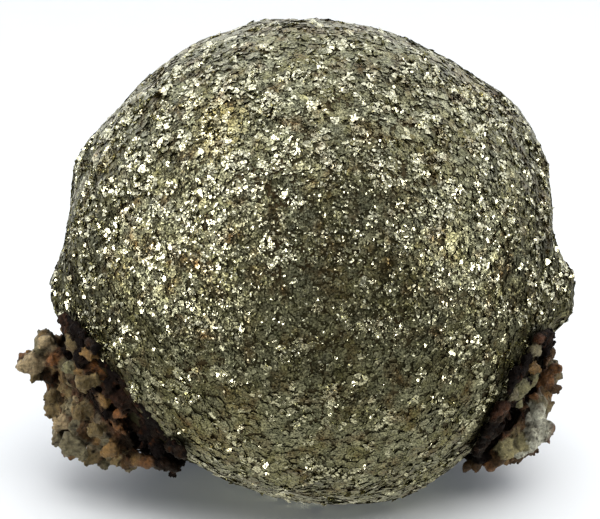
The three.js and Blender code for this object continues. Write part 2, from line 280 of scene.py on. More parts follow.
def belongs(piece, node_name):
    """Hides the part of the frame that the piece stands for, hangs the piece on the root body and puts
    it in the windows' light.
    """
    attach(piece, "root")
    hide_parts(node_name)
    specimen.objects.link(piece)


def values_of(items, name, width=3):
    """What all of a mesh's points or faces hold under a name, in rows of this width."""
    values = np.empty(width * len(items))
    items.foreach_get(name, values)
    return values.reshape(-1, width)


def coordinates(mesh_object):
    return values_of(mesh_object.data.vertices, "co")


def keep_in_box(mesh_object):
    """Crystals and grains that would stand out of the frame's box are worn flat at its sides."""
    kept = np.clip(coordinates(mesh_object), cad_box[0], cad_box[1])
    mesh_object.data.vertices.foreach_set("co", kept.ravel())
    mesh_object.data.update()


deselect_all()
bpy.ops.mesh.primitive_ico_sphere_add(subdivisions=7, radius=BED_START_RADIUS, location=BALL_MIDDLE)
bed = bpy.context.object
bed.name = "nodule_bed"
onto_form = bed.modifiers.new("onto_form", "SHRINKWRAP")
onto_form.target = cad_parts["marcasite_nodule"]
onto_form.wrap_method = "PROJECT"
onto_form.offset = BED_DEPTH
apply_modifiers(bed)
settle(bed)
smoothed = bed.vertex_groups.new(name="smoothed")
for vertex in bed.data.vertices:
    beyond = (vertex.co.x - LEDGE_START) / (LEDGE_FULL - LEDGE_START)
    smoothed.add([vertex.index], 1 - LEDGE_KEPT * min(max(beyond, 0), 1), "REPLACE")
smoothing = bed.modifiers.new("smoothing", "SMOOTH")
smoothing.iterations = BED_SMOOTHING
smoothing.vertex_group = smoothed.name
apply_modifiers(bed)

shapes = bpy.context.evaluated_depsgraph_get()
bed_surface = BVHTree.FromObject(bed, shapes)
rock_surface = BVHTree.FromObject(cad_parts["matrix"], shapes)

relief_texture = bpy.data.textures.new("sulphide_crumb", "VORONOI")
relief_texture.noise_scale = BED_GRAIN
relief = bed.modifiers.new("relief", "DISPLACE")
relief.texture = relief_texture
relief.texture_coords = "LOCAL"
relief.mid_level = 0.7
relief.strength = BED_RELIEF
apply_modifiers(bed)
keep_in_box(bed)
bpy.ops.object.shade_flat()

# Tarnished iron sulphide: a dark olive metal, rough, browner in patches
bed_material, tree, shader = new_material("dark_tarnished_sulphide")
place = add_node(tree, "ShaderNodeTexCoord").outputs["Object"]
browner = remap(tree, blotches(tree, place, TARNISH_PATCH, 5), span=(0.45, 0.7))
tree.links.new(blend(tree, browner, DARK_SULPHIDE, BROWN_TARNISH), shader.inputs["Base Color"])
shader.inputs["Metallic"].default_value = 0.8
shader.inputs["Roughness"].default_value = 0.5
bed.data.materials.append(bed_material)
belongs(bed, "marcasite_nodule")


# Crystals of the skin
# The ball is covered by thin tabular marcasite crystals that lie almost flat, overlap like scales
# and are a fifth of a millimetre to one and a half across. Each is a flat top on a foot in the bed.
SEED = 31
BROAD_PLATES = 19500
FINE_CRYSTALS = 98000
BROAD_SIDES = 7
FINE_SIDES = 5
NUDGE = 1.2  # of the spacing, which blurs the crystals' even spread
FOOT_DEPTH = 0.3 * MM
CORNER_SHIFT = 0.3  # of the even step from corner to corner
CORNER_REACH = (0.6, 1.25)  # of a crystal's radius
CLUSTER_SIZE = 1.6 * MM
CLUSTER_PULL = 1.6  # how strongly fresh crystals keep together
LEAN_PATCH = 3.5 * MM
GOLD_PATCH = 7 * MM
LIVELY_SIDE = (-0.55, 0.4, 0.73)  # right, up and towards in the picture: where most crystals glint
LIVELY_START = 0.75
RIM_START = 0.42  # how far a place on the ball still turns towards the camera where its rim starts
RIM_FULL = 0.15
CALM_START = 0.2  # how calm the skin is at least, from 0 to 1
CALM_BANDS = 0.75  # what the underside and the top add
UNDERSIDE = (0.2, 0.7)  # from its edge to its full calm, by how far the skin turns down
TOP = (0.6, 0.95)  # by how far it turns up
CALM_CROWN = 0.45  # what the rim's upper part adds
CROWN = (0, 0.5)
LIVELY_CALM = -0.4  # what the lively side takes off
CALM_PATCH = 5 * MM
CALM_SWING = 0.9  # how far such patches are calmer or livelier
COVER_REACH = 5 * MM  # where the rock lies closer than this over the ball, no crystal is seen
# Where the rock's dark crust that has crept over the ball ends, at its lower left and lower right;
# its near-black is dark oxide and painted shade under the ball. The clock angle in the picture
# (0 to the right, 90 at the top) and millimetres from the ball's middle
CRUST_EDGES = [
    [(192, 28.2), (197, 26.8), (202, 25.8), (214, 24.5), (225, 24.8), (237, 25.6)],
    [(311, 28.3), (314, 27.8), (320, 27), (328, 26.3), (335, 26), (340, 26.4), (344, 28)],
]
CRUST_FRAY = (-0.2, 0.3)  # mean and spread of its edge's own unevenness

PALE_BRASS = "C3C1A8"
OLIVE_TARNISH = "6D6A48"
GREY_TARNISH = "6E6F58"
GOLD_TARNISH = "96854C"
BROWN_STAIN = "5A4427"
FOOT_SHADE = 0.35  # a crystal's brightness at its foot against its top's: painted shade down its slanting sides

draw = np.random.default_rng(SEED)
noise.seed_set(SEED)  # for the slow random fields


def unit(rows):
    return rows / np.linalg.norm(rows, axis=-1, keepdims=True)


def spread_directions(count):
    """Directions spread evenly from top to bottom by turning on by the golden angle, then nudged."""
    golden_angle = math.pi * (3 - math.sqrt(5))
    step = np.arange(count)
    height = 1 - (2 * step + 1) / count
    ring = np.sqrt(1 - height ** 2)
    turn = golden_angle * step
    directions = np.stack([ring * np.cos(turn), ring * np.sin(turn), height], 1)
    nudge = NUDGE * math.sqrt(4 * math.pi / count)
    return unit(directions + nudge * draw.uniform(-0.5, 0.5, directions.shape))


def in_picture(place):
    """Where the camera sees a place: clock angle and millimetres from the ball's middle."""
    sight = place - camera.location
    to_middle = (BALL_MIDDLE - camera.location).dot(view_towards)
    seen = camera.location + sight * (to_middle / sight.dot(view_towards)) - BALL_MIDDLE
    right, up = seen.dot(view_right), seen.dot(view_up)
    return math.degrees(math.atan2(up, right)) % 360, math.hypot(right, up) / MM


def under_crust(place):
    """Whether the crust covers a place, which it does only where the camera sees the ball there."""
    clock, ring = in_picture(place)
    ring += draw.normal(*CRUST_FRAY)
    on_front = (place - BALL_MIDDLE).dot(view_towards) > 0
    sight = place - camera.location
    behind_rock = rock_surface.ray_cast(camera.location, sight, sight.length)[0] is not None
    return on_front and not behind_rock and any(
        edge[0][0] < clock < edge[-1][0] and ring > np.interp(clock, *np.transpose(edge))
        for edge in CRUST_EDGES)


def spots_on_ball(count):
    """Places on the bed, with the surface's own direction there, where no rock or crust covers it."""
    places, normals = [], []
    for direction in spread_directions(count):
        outward = Vector(direction)
        outside = BALL_MIDDLE + 2 * BED_START_RADIUS * outward
        place, normal, _, _ = bed_surface.ray_cast(outside, -outward)
        if rock_surface.ray_cast(place, outward, COVER_REACH)[0] is None and not under_crust(place):
            places.append(place)
            normals.append(normal)
    return np.array(places), np.array(normals)


def drift(places, patch_size, salt):
    """A slow random field, three values for each place, that changes over patches of this size."""
    offset = Vector((salt, 2 * salt, 3 * salt))
    return np.array([noise.noise_vector(Vector(place) / patch_size + offset) for place in places])


def in_view(normals):
    """How far to the right, up and towards the viewer each place on the ball lies, from -1 to 1."""
    return normals @ np.array([view_right, view_up, view_towards]).T


def ramp(value, low, high):
    """From 0 at the low value to 1 at the high one, with soft ends."""
    share = np.clip((value - low) / (high - low), 0, 1)
    return share * share * (3 - 2 * share)


def at_rim(normals):
    """1 on the ball's outline in the picture, where all lies flat, to 0 a little way in from it."""
    return ramp(-np.abs(in_view(normals)[:, 2]), -RIM_START, -RIM_FULL)


def liveliness(normals):
    return ramp(in_view(normals) @ LIVELY_SIDE, LIVELY_START, 1)


def calm(places, normals):
    """From 0 where small crystals stand up and glint to 1 where broad dull plates lie flat."""
    up = in_view(normals)[:, 1]
    bands = CALM_BANDS * ramp(-up, *UNDERSIDE) + CALM_BANDS * ramp(up, *TOP)
    crown = CALM_CROWN * at_rim(normals) * ramp(up, *CROWN)
    patches = CALM_SWING * drift(places, CALM_PATCH, salt=3)[:, 0]
    return np.clip(CALM_START + bands + crown + LIVELY_CALM * liveliness(normals) + patches, 0, 1)


def tangents(axes):
    """Two directions across each axis, at right angles to it and to each other."""
    helper = np.where(np.abs(axes[:, 2:]) < 0.9, [[0, 0, 1]], [[1, 0, 0]])
    east = unit(np.cross(helper, axes))
    return east, np.cross(axes, east)


# The middles and reaches of a crystal's top and of its sides, in its own cell of the map
MAP_TOP = (0.36, 0.5)
MAP_TOP_REACH = (0.3, 0.42)
MAP_SIDES = (0.85, 0.5)
MAP_SIDES_REACH = (0.1, 0.42)


def crystal_map(count, sides):
    """Each crystal's own cell on a square map: its top at the left, its slanting sides at the right."""
    columns = math.ceil(math.sqrt(count))
    cell = np.stack([np.arange(count) % columns, np.arange(count) // columns], 1)[:, None]
    angle = 2 * math.pi * np.arange(sides) / sides
    ring = np.stack([np.cos(angle), np.sin(angle)], 1)
    tops = cell + MAP_TOP + ring * MAP_TOP_REACH
    hub = np.broadcast_to(cell + MAP_SIDES, (count, sides, 2))
    rims = cell + MAP_SIDES + ring * MAP_SIDES_REACH
    slants = np.stack([np.roll(rims, -1, axis=1), rims, hub], 2)
    return np.concatenate([tops.reshape(-1, 2), slants.reshape(-1, 2)]) / columns


def grow_crystals(name, places, normals, sides, radius, slimness, lean, lift, finish):
    """Joins a crystal at each place in one mesh. Its lean tips the top, its lift is the top's height
    over the bed, and its finish holds its brightness, dullness and goldness."""
    count = len(places)
    axes = unit(normals + lean)
    east, north = tangents(axes)
    turn = draw.uniform(0, 2 * math.pi, (count, 1))
    long_way = np.cos(turn) * east + np.sin(turn) * north
    short_way = np.cross(axes, long_way)
    corner = np.arange(sides) + draw.uniform(-CORNER_SHIFT, CORNER_SHIFT, (count, sides))
    angle = 2 * math.pi * corner / sides
    reach = radius[:, None] * draw.uniform(*CORNER_REACH, (count, sides))
    slim = draw.uniform(*slimness, (count, 1))
    rims = ((places + lift[:, None] * normals)[:, None]
            + (reach * np.cos(angle))[..., None] * long_way[:, None]
            + (slim * reach * np.sin(angle))[..., None] * short_way[:, None])
    feet = places - FOOT_DEPTH * normals
    points = np.concatenate([rims, feet[:, None]], 1).reshape(-1, 3)
    first = (np.arange(count) * (sides + 1))[:, None]
    tops = first + np.arange(sides)
    slants = np.stack([np.roll(tops, -1, axis=1), tops, np.broadcast_to(first + sides, tops.shape)], 2)
    mesh = bpy.data.meshes.new(name)
    mesh.from_pydata(points.tolist(), [], tops.tolist() + slants.reshape(-1, 3).tolist())
    mesh.uv_layers.new(name="OFBake").uv.foreach_set("vector", crystal_map(count, sides).ravel())
    looks = np.ones((count, sides + 1, 4))
    looks[..., :3] = finish[:, None]
    # The foot is darker than the top: painted shade down the slanting sides between the crystals
    looks[:, sides, 0] *= FOOT_SHADE
    mesh.attributes.new("finish", "FLOAT_COLOR", "POINT").data.foreach_set("color", looks.ravel())
    crystals = bpy.data.objects.new(name, mesh)
    bpy.context.collection.objects.link(crystals)
    keep_in_box(crystals)
    crystals.data.materials.append(crystal_material)
    belongs(crystals, "marcasite_nodule")


# Natural crystal faces of marcasite: pale brass metal, polished where fresh, olive to grey and matt
# where tarnished. Steps in the faces, a fifth of a millimetre wide, give them small glints; pits of
# that size darken the colour as painted shade and lighten it as painted glints.
FACE_STEP = 0.17 * MM
STEP_TILTS = (0.26, 0.34)  # of fresh faces and of dull ones
FACE_ROUGHNESS = (0.16, 0.42)  # of the same two
PIT_SIZE = 0.2 * MM
PIT_SHADES = (0.1, 1.95)
GREY_PATCH = 4 * MM
STAIN_SPOT = 2.5 * MM

crystal_material, tree, shader = new_material("tabular_marcasite")
place = add_node(tree, "ShaderNodeTexCoord").outputs["Object"]
finish = add_node(tree, "ShaderNodeAttribute", attribute_name="finish")
looks = add_node(tree, "ShaderNodeSeparateColor", {0: finish.outputs["Color"]})
# bright is each crystal's brightness, fading towards its foot as painted shade
bright, dull, gold = looks.outputs
greyer = remap(tree, blotches(tree, place, GREY_PATCH, 5), span=(0.4, 0.6))
aged = blend(tree, dull, PALE_BRASS, blend(tree, greyer, OLIVE_TARNISH, GREY_TARNISH))
golden = blend(tree, gold, aged, GOLD_TARNISH)
stain = remap(tree, blotches(tree, place, STAIN_SPOT, 6, 0.65), span=(0.5, 0.74))
stained = blend(tree, stain, golden, BROWN_STAIN)
pit_shade = remap(tree, blotches(tree, place, PIT_SIZE, 3, 0.7), span=(0.37, 0.63), onto=PIT_SHADES)
# The colour's scale: painted shade and painted glints of the pits, times each crystal's brightness,
# which fades at its foot as painted shade
painted_light_and_tone = add_node(tree, "ShaderNodeMath", {0: pit_shade, 1: bright}, operation="MULTIPLY")
shaded = add_node(tree, "ShaderNodeVectorMath", {0: stained, "Scale": painted_light_and_tone.outputs[0]},
                  operation="SCALE")
tree.links.new(shaded.outputs[0], shader.inputs["Base Color"])
shader.inputs["Metallic"].default_value = 1
tree.links.new(remap(tree, dull, onto=FACE_ROUGHNESS), shader.inputs["Roughness"])
steps = add_node(tree, "ShaderNodeTexVoronoi", {"Vector": place, "Scale": 1 / FACE_STEP})
tips = add_node(tree, "ShaderNodeVectorMath", {0: steps.outputs["Color"], 1: (0.5, 0.5, 0.5)},
                operation="SUBTRACT")
tilt = remap(tree, dull, onto=STEP_TILTS)
tipped = add_node(tree, "ShaderNodeVectorMath", {0: tips.outputs[0], "Scale": tilt}, operation="SCALE")
face = add_node(tree, "ShaderNodeNewGeometry").outputs["Normal"]
stepped = add_node(tree, "ShaderNodeVectorMath", {0: face, 1: tipped.outputs[0]}, operation="ADD")
level = add_node(tree, "ShaderNodeVectorMath", {0: stepped.outputs[0]}, operation="NORMALIZE")
tree.links.new(level.outputs[0], shader.inputs["Normal"])


# More crystals than the asked share are fresh where the skin is lively, and fewer where it is calm
FRESH_WHERE_LIVELY = 1.15
FRESH_LOST_IN_CALM = 0.65


def pick_fresh(places, calmness, share, scatter):
    """Which crystals are fresh: about this share, in clusters that the scatter loosens."""
    clusters = CLUSTER_PULL * drift(places, CLUSTER_SIZE, salt=23)[:, 0]
    clusters = clusters + draw.normal(0, scatter, len(places))
    wanted = share * (FRESH_WHERE_LIVELY - FRESH_LOST_IN_CALM * calmness)
    return clusters > np.quantile(clusters, 1 - wanted)


FRESH_BRIGHTNESS = (0.9, 1.15)
OLD_BRIGHTNESS = (0.35, 1.1)
CALM_BRIGHTENING = 0.45  # of the darkest old crystals, where the skin is calm
FRESH_DULLNESS = (0, 0.3)
OLD_DULLNESS = (0.7, 1)
GOLD_SPAN = (0.35, 0.8)
GOLD_SCATTER = 0.15
GOLD_STRENGTH = 0.4


def finishes(places, calmness, fresh):
    """Brightness, dullness and goldness of each crystal; gold tarnish comes in patches."""
    count = len(places)
    darkest = OLD_BRIGHTNESS[0] + CALM_BRIGHTENING * calmness
    bright = np.where(fresh, draw.uniform(*FRESH_BRIGHTNESS, count),
                      draw.uniform(darkest, OLD_BRIGHTNESS[1]))
    dull = np.where(fresh, draw.uniform(*FRESH_DULLNESS, count), draw.uniform(*OLD_DULLNESS, count))
    scatter = draw.uniform(-GOLD_SCATTER, GOLD_SCATTER, count)
    gold = ramp(drift(places, GOLD_PATCH, salt=11)[:, 1] + scatter, *GOLD_SPAN)
    return np.stack([bright, dull, GOLD_STRENGTH * gold], 1)


def leans(places, spread, patch_lean):
    """How each top tips away from the surface: by itself and together with its neighbours."""
    own = np.tan(np.radians(spread))[:, None] * draw.normal(0, 1, places.shape)
    # The drift seldom passes a half, so it counts double
    shared = math.tan(math.radians(patch_lean)) * 2 * drift(places, LEAN_PATCH, salt=7)
    return own + shared


# Broad plates, the lower layer, which shows most where the skin is calm and is broadest there
BROAD_RADIUS = (0.36, 0.72)  # millimetres
LIVELY_BREADTH = 0.9  # of that radius, where the skin is lively
CALM_BREADTH_GAIN = 0.25
BROAD_SLIMNESS = (0.6, 1)
BROAD_LIFT = (0.02, 0.14)  # millimetres
BROAD_FRESH_LEAN = 12  # degrees
BROAD_OLD_LEAN = 6
CALM_LEAN_LOSS = 2

places, normals = spots_on_ball(BROAD_PLATES)
calmness = calm(places, normals)
fresh = pick_fresh(places, calmness, share=0.16, scatter=0.32)
spreads = np.where(fresh, BROAD_FRESH_LEAN, BROAD_OLD_LEAN - CALM_LEAN_LOSS * calmness)
breadths = LIVELY_BREADTH + CALM_BREADTH_GAIN * calmness
grow_crystals(
    "broad_plates", places, normals, BROAD_SIDES,
    radius=MM * draw.uniform(*BROAD_RADIUS, len(places)) * breadths,
    slimness=BROAD_SLIMNESS,
    lean=leans(places, spreads, patch_lean=4),
    lift=MM * draw.uniform(*BROAD_LIFT, len(places)),
    finish=finishes(places, calmness, fresh))

# Fine crystals on them, in three meshes from the top down. They are thinned out where the skin is
# calm, smallest in the middle of the picture, largest on the lively side and flat on the rim.
THINNED_IN_CALM = 0.65
MIDDLE_START = 0.97  # how far the skin turns towards the camera where its crystals get larger
MIDDLE_END = 0.75
OLD_RADIUS = (0.09, 0.26)  # millimetres
FRESH_SMALLEST = 0.12
FRESH_LARGEST = 0.25  # in the middle
OUTER_GAIN = 0.22
LIVELY_GAIN = 0.13
MIDDLE_SCATTER = 0.7
OUTER_SCATTER_LOSS = 0.38
FINE_SLIMNESS = (0.4, 0.95)
FRESH_LEAN = 22  # degrees
FRESH_LEAN_LOSS = 14  # on the rim
OLD_LEAN = 9
OLD_LEAN_LOSS = 4
FRESH_LIFT = 0.2  # millimetres
FRESH_LIFT_LOSS = 0.11
OLD_LIFT = 0.1
LIFT_SHARES = (0.6, 1.3)

places, normals = spots_on_ball(FINE_CRYSTALS)
calmness = calm(places, normals)
shown = draw.uniform(0, 1, len(places)) > THINNED_IN_CALM * calmness
places, normals, calmness = places[shown], normals[shown], calmness[shown]
coarse = ramp(-in_view(normals)[:, 2], -MIDDLE_START, -MIDDLE_END)
fresh = pick_fresh(places, calmness, share=0.34, scatter=MIDDLE_SCATTER - OUTER_SCATTER_LOSS * coarse)
largest = FRESH_LARGEST + OUTER_GAIN * coarse + LIVELY_GAIN * liveliness(normals)
sizes = MM * np.where(fresh, draw.uniform(FRESH_SMALLEST, largest),
                      draw.uniform(*OLD_RADIUS, len(places)))
flat = at_rim(normals)
spreads = np.where(fresh, FRESH_LEAN - FRESH_LEAN_LOSS * flat, OLD_LEAN - OLD_LEAN_LOSS * flat)
lifts = MM * np.where(fresh, FRESH_LIFT - FRESH_LIFT_LOSS * flat, OLD_LIFT)
for name, part in zip(["upper", "middle", "lower"], np.array_split(np.arange(len(places)), 3)):
    grow_crystals(
        f"fine_crystals_{name}", places[part], normals[part], FINE_SIDES,
        radius=sizes[part],
        slimness=FINE_SLIMNESS,
        lean=leans(places[part], spreads[part], patch_lean=5),
        lift=lifts[part] * draw.uniform(*LIFT_SHARES, len(part)),
        finish=finishes(places[part], calmness[part], fresh[part]))


# The rock
# The piece of rock that the ball grew in: worn grains of milky quartz, a millimetre or two across,
# grown together in a rusty cement that stays dark in the hollows, broken off round the ball.
CORE_VOXEL = 0.42 * MM
CORE_DEPTH = 0.5 * MM  # how far the cement is sunk below the form that the rock has in the frame
ROCK_VOXEL = 0.32 * MM
SOCKET_SIDE = -0.3  # faces that turn to the ball by more than this are the socket
GRAIN_COUNT = 2400
GRAIN_RADIUS = (0.35, 1.1)  # millimetres
GRAIN_DEPTH = 0.6  # of a grain's radius, which the rock hides
SEAM_GRAIN_SHARE = 0.7  # of that radius close to the ball
GRAIN_SPACING = 0.55  # of a grain's radius, from the larger grains of the ends
LUMP_KINDS = 8
LUMP_UNEVENNESS = 0.55
LUMP_FINENESS = 1.3
LUMP_STRETCH = (0.7, 1.2)
BROKEN_SIDES = 6
BROKEN_OFF = (0.55, 0.8)  # of a lump's radius, how far out such flat sides lie
CRUST_START = 30 * MM  # grains closer to the ball's middle than this lean over to it
CRUST_REACH = 1 * MM
CRUST_LUMPS = 8  # for each degree round the ball
CRUST_OUTSIDE = 28.6  # from the ball's middle, in the picture
CRUST_RADIUS = (0.4, 0.8)
STAIN_PATCH = 4 * MM
TINT_SWING = 1.1  # how far the stain's patches shift the tint along its palette
END_DEPTH = 0.2  # of a larger grain's radius, which the rock hides
SLIT_REACH = 1.3  # millimetres to each side in the picture where something much nearer makes a slit
SLIT_DEPTH = 3 * MM
NEARBY_GRAINS = 6  # among which a point's own grain is looked for
GRAIN_FADE = (1.35, 0.95)  # of a grain's radius, from where all is cement to where all is grain
HOLLOW_ROUNDS = 10  # of smoothing, which shows what lies in a hollow
HOLLOW_DEPTH = 0.11 * MM  # below the smoothed form, where a hollow's painted shade and dirt are at their darkest
# How the hollows are darkened towards the darkest cement: painted shade, with dark dirt in patches
DIRT_AND_SHADE_PATCH = 1.5 * MM
DIRT_AND_SHADE_SWING = 0.4
DIRT_AND_SHADE_START = 0.05  # of the hollow's depth
DIRT_AND_SHADE_STRENGTH = 0.8
SEAM_START = 28.5 * MM  # the dark seam round the ball, dark oxide with painted shade where the rock meets it, by the distance from its middle
SEAM_END = 31 * MM
SEAM_WAVE = 2 * MM
SEAM_PATCH = 2 * MM
SEAM_STRENGTH = 0.8
PITTING_SIZE = 0.75 * MM  # of the rough surface of the cement and the grains
PITTING_DEPTH = 0.45 * MM
WORN_PITTING = 0.75  # share of that depth on the larger grains at the left
SOUND_PITTING = 0.3  # and on those at the right, which are sound quartz

PALE_QUARTZ = "9E8B68"
WHITE_QUARTZ = "B7B5A2"
OLIVE_QUARTZ = "6E5D38"
TAN_QUARTZ = "7C5E30"
RUSTY_QUARTZ = "68431D"
BROWN_QUARTZ = "483217"
GREY_QUARTZ = "726A4F"
YELLOW_QUARTZ = "938A62"
ORANGE_RUST = "784A1C"
GREEN_QUARTZ = "75704E"
# Near-black: dark oxide, and painted shade at the seam, in the crust and under the ball
DARK_SEAM = "120C0B"
CEMENT_DARK = "1D150C"
CEMENT_BROWN = "3A2A16"
CEMENT_RUST = "512D13"
CEMENT_OCHRE = "664B28"


def spots_on_rock(count):
    """Places spread over the rock's outside, the directions away from the rock there and its faces."""
    faces = rock.data.polygons
    areas = values_of(faces, "area", 1)[:, 0]
    centres = values_of(faces, "center")
    normals = values_of(faces, "normal")
    outward = unit(centres - np.array(BALL_MIDDLE))
    areas[(normals * outward).sum(1) < SOCKET_SIDE] = 0
    chosen = draw.choice(len(faces), count, p=areas / areas.sum())
    return centres[chosen], normals[chosen], chosen


def lump_shapes(subdivisions):
    """A few uneven lumps of radius one with flat broken sides, as arrays of points, and their faces."""
    deselect_all()
    bpy.ops.mesh.primitive_ico_sphere_add(subdivisions=subdivisions, radius=1)
    ball = bpy.context.object
    round_points = np.array([vertex.co for vertex in ball.data.vertices])
    faces = np.array([face.vertices for face in ball.data.polygons])
    bpy.data.objects.remove(ball)
    lumps = []
    for salt in range(LUMP_KINDS):
        swell = np.array([noise.noise(Vector(point) * LUMP_FINENESS + Vector((salt, 5 * salt, 0)))
                          for point in round_points])
        lump = round_points * (1 + LUMP_UNEVENNESS * swell[:, None])
        for side in unit(draw.normal(0, 1, (BROKEN_SIDES, 3))):
            beyond = np.maximum(lump @ side - draw.uniform(*BROKEN_OFF), 0)
            lump = lump - beyond[:, None] * side
        lumps.append(lump)
    return np.array(lumps), faces


def join_lumps(name, places, sizes, subdivisions):
    """An object with a lump at each place, turned at random."""
    lumps, faces = lump_shapes(subdivisions)
    count = len(places)
    chosen = lumps[draw.integers(0, len(lumps), count)]
    stretched = chosen * draw.uniform(*LUMP_STRETCH, (count, 1, 3))
    turns = np.linalg.qr(draw.normal(0, 1, (count, 3, 3)))[0]
    turns *= np.sign(np.linalg.det(turns))[:, None, None]
    points = places[:, None] + sizes[:, None, None] * (stretched @ turns)
    joined_faces = (np.arange(count) * chosen.shape[1])[:, None, None] + faces
    mesh = bpy.data.meshes.new(name)
    mesh.from_pydata(points.reshape(-1, 3).tolist(), [], joined_faces.reshape(-1, 3).tolist())
    joined = bpy.data.objects.new(name, mesh)
    bpy.context.collection.objects.link(joined)
    return joined


def pick_tints(palette, places, unevenness):
    """A tint for each place from the palette, which runs from one end to the other over patches of
    the rock, a little lighter or darker each time."""
    colours = np.array([colour(code) for code in palette])
    along = 0.5 + TINT_SWING * drift(places, STAIN_PATCH, salt=5)[:, 0]
    along = along + draw.normal(0, unevenness, len(places))
    steps = np.clip(along, 0, 1) * (len(palette) - 1)
    below = np.minimum(steps.astype(int), len(palette) - 2)
    share = (steps - below)[:, None]
    return (1 - share) * colours[below] + share * colours[below + 1]


def set_tints(mesh_object, tints):
    """Gives each point of the mesh its tint, which the material reads."""
    tint = mesh_object.data.attributes.new("tint", "FLOAT_COLOR", "POINT")
    tint.data.foreach_set("color", tints.ravel())


def remesh(mesh_object, voxel, smoothing):
    """Makes one even skin round all that the object holds, softened by rounds of smoothing."""
    skin = mesh_object.modifiers.new("skin", "REMESH")
    skin.mode = "VOXEL"
    skin.voxel_size = voxel
    softening = mesh_object.modifiers.new("softening", "SMOOTH")
    softening.iterations = smoothing
    apply_modifiers(mesh_object)


# The larger grains that make the look of the two ends, as the picture shows them: millimetres to
# the right of the ball's middle and up from it, radius and tint
END_GRAINS = [
    (-29.9, -9, 1.2, PALE_QUARTZ),  # pale knobs that stand out from the left side
    (-31.6, -11.4, 1.5, PALE_QUARTZ),
    (-31.2, -13, 0.8, OLIVE_QUARTZ),
    (-29.1, -11, 0.8, ORANGE_RUST),
    (-29.5, -13, 0.9, CEMENT_DARK),
    (-26.5, -8.8, 1.3, OLIVE_QUARTZ),  # ochre ridge beside the ball
    (-24.8, -10.3, 1.2, TAN_QUARTZ),
    (-23.9, -11.7, 1.2, ORANGE_RUST),
    (-25.6, -12.2, 1, TAN_QUARTZ),
    (-24.3, -13.1, 1, OLIVE_QUARTZ),
    (-23.2, -12.8, 0.8, RUSTY_QUARTZ),
    (-22.4, -13.9, 0.7, RUSTY_QUARTZ),
    (-22.9, -15.4, 1, TAN_QUARTZ),
    (-21.4, -16.9, 0.8, ORANGE_RUST),
    (-21.6, -18.6, 0.9, RUSTY_QUARTZ),
    (-27.3, -12, 0.9, GREEN_QUARTZ),  # olive and grey grains of the middle
    (-25.4, -13.8, 1.3, OLIVE_QUARTZ),
    (-29.2, -15, 0.9, OLIVE_QUARTZ),
    (-26.4, -15.3, 0.5, PALE_QUARTZ),
    (-25.8, -16.9, 1.3, OLIVE_QUARTZ),
    (-26.4, -18.5, 0.9, GREY_QUARTZ),
    (-24.2, -19, 1.2, OLIVE_QUARTZ),
    (-29, -16.7, 1.1, OLIVE_QUARTZ),  # left edge and underside
    (-28.3, -18.3, 1.2, PALE_QUARTZ),
    (-28.3, -19.8, 1.1, GREY_QUARTZ),
    (-27, -20.6, 1.5, GREY_QUARTZ),
    (-25.8, -21.2, 1.1, GREY_QUARTZ),
    (-24.9, -22, 1.1, OLIVE_QUARTZ),
    (-22.6, -21.1, 1.1, TAN_QUARTZ),
    (-23, -22.8, 1, GREY_QUARTZ),
    (-21.6, -22.4, 1, OLIVE_QUARTZ),
    (-20.4, -22.6, 1, BROWN_QUARTZ),
    (-19.2, -22.4, 0.9, TAN_QUARTZ),
    (-18.2, -22.6, 0.9, RUSTY_QUARTZ),
    # near-black grains under the ball's lower left: painted shade on the rock
    (-17.2, -21, 1.3, DARK_SEAM),
    (-15.9, -21.9, 0.9, DARK_SEAM),
    (25.4, -9.9, 0.9, GREY_QUARTZ),  # pale crust over the ball's edge on the right
    (25, -11.9, 1.2, TAN_QUARTZ),  # round tan grain
    (24.9, -13.5, 1.2, GREEN_QUARTZ),  # greenish quartz
    (23.7, -14.1, 1.4, GREEN_QUARTZ),
    (22.9, -14.7, 1, GREY_QUARTZ),
    (23.4, -15.8, 1.1, GREEN_QUARTZ),
    (27, -10.2, 0.9, BROWN_QUARTZ),  # rusty knobs at the side
    (27.7, -11.9, 1, RUSTY_QUARTZ),
    (26.7, -13.4, 1, RUSTY_QUARTZ),
    (27.6, -14.4, 0.8, BROWN_QUARTZ),
    (26, -13.4, 0.6, ORANGE_RUST),  # rusty streak
    (25.4, -15, 0.6, RUSTY_QUARTZ),
    (24.6, -16, 0.6, RUSTY_QUARTZ),
    (26, -15.8, 1.1, GREY_QUARTZ),  # white quartz mass
    (25.7, -17, 1.4, WHITE_QUARTZ),
    (25.5, -18.4, 1.7, WHITE_QUARTZ),
    (24.8, -19.7, 1.6, WHITE_QUARTZ),
    (23.6, -20.4, 1.4, YELLOW_QUARTZ),
    (22.3, -21, 1.3, YELLOW_QUARTZ),
    (23.6, -21.4, 1.1, WHITE_QUARTZ),
    (21.4, -22.3, 1, BROWN_QUARTZ),  # brown base
    (20.2, -23, 1, RUSTY_QUARTZ),
    (18.7, -23.2, 0.8, BROWN_QUARTZ),
    (17.8, -22.9, 0.8, BROWN_QUARTZ),
    # near-black grain under the ball beside the brown base: painted shade on the rock
    (19.2, -21.9, 1.1, DARK_SEAM),
]
# Dark hollows between them: to the right, up and radius
DARK_HOLLOWS = [
    (-28.2, -8.8, 0.7), (-27.9, -10.6, 0.7), (-28.8, -13, 1), (-27.8, -13.6, 0.8), (-27.3, -16.6, 0.9),
    (-24, -17, 0.6), (-22.8, -20.2, 0.9), (-20.4, -20.6, 1.2), (-20.2, -18.6, 0.9), (-18, -21, 1),
    (25.8, -10.8, 0.7), (22.3, -16.6, 0.8), (23.7, -17.6, 0.8), (21.6, -18.9, 1), (20.1, -20.6, 1),
]


